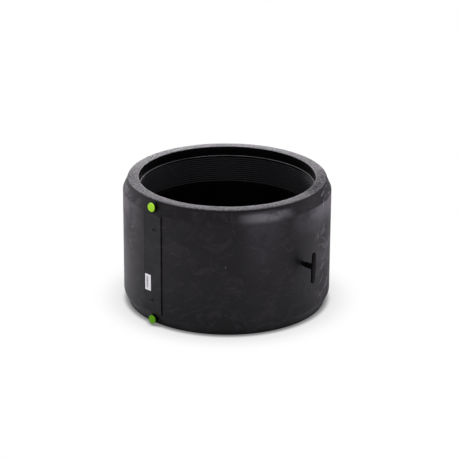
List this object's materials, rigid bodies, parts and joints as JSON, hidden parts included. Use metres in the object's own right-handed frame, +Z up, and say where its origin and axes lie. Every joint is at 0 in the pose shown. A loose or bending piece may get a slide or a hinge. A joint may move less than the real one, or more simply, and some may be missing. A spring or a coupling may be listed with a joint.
{
  "type": "electrofusion coupler",
  "caption": "Thick black plastic pipe sleeve with tapered ends, internal heating windings, capped terminals on a flat strip and pull-out centre-stop pins with T-shaped grips.",
  "frame": {"origin": "centre of the lower end face, on the coupler's axis", "axes": "+Z up the coupler's axis; -Y out of the flat strip with the terminals; the centre-stop pins lie along X"},
  "size_m": [0.686, 0.6075, 0.376],
  "materials": {
    "body_black": "semi-gloss moulded polyethylene, lightly scuffed",
    "winding_black": "satin plastic-coated wire, fused into ribs",
    "heating_wire": "drawn copper-alloy wire",
    "shroud_black": "satin moulded plastic",
    "contact_brass": "turned and bright",
    "label_white": "coated paper sticker with plain grey bars",
    "cap_green": "glossy lime-green moulded plastic",
    "indicator_black": "satin moulded plastic",
    "stop_pin_black": "satin moulded plastic"
  },
  "bodies": {
    "coupler": {"coupler_body": "body_black", "lower_heating_coil": "winding_black", "upper_heating_coil": "winding_black", "lower_lead_wire": "heating_wire", "upper_lead_wire": "heating_wire", "bridge_wire": "heating_wire", "lower_terminal_shroud": "shroud_black", "upper_terminal_shroud": "shroud_black", "lower_contact_pin": "contact_brass", "upper_contact_pin": "contact_brass", "data_label": "label_white"},
    "lower_cap": {"lower_terminal_cap": "cap_green"},
    "upper_cap": {"upper_terminal_cap": "cap_green"},
    "lower_indicator": {"lower_fusion_indicator": "indicator_black"},
    "upper_indicator": {"upper_fusion_indicator": "indicator_black"},
    "right_stop": {"right_stop_pin": "stop_pin_black"},
    "left_stop": {"left_stop_pin": "stop_pin_black"}
  },
  "joints": [
    {"name": "lower_cap_pull", "type": "slide", "parent": "coupler", "child": "lower_cap", "axis": [0, -1, 0], "range_m": [0, 0.03]},
    {"name": "upper_cap_pull", "type": "slide", "parent": "coupler", "child": "upper_cap", "axis": [0, -1, 0], "range_m": [0, 0.03]},
    {"name": "lower_indicator_rise", "type": "slide", "parent": "coupler", "child": "lower_indicator", "axis": [0, -1, 0], "range_m": [0, 0.004]},
    {"name": "upper_indicator_rise", "type": "slide", "parent": "coupler", "child": "upper_indicator", "axis": [0, -1, 0], "range_m": [0, 0.004]},
    {"name": "right_stop_pull", "type": "slide", "parent": "coupler", "child": "right_stop", "axis": [1, 0, 0], "range_m": [0, 0.07]},
    {"name": "left_stop_pull", "type": "slide", "parent": "coupler", "child": "left_stop", "axis": [-1, 0, 0], "range_m": [0, 0.07]}
  ]
}
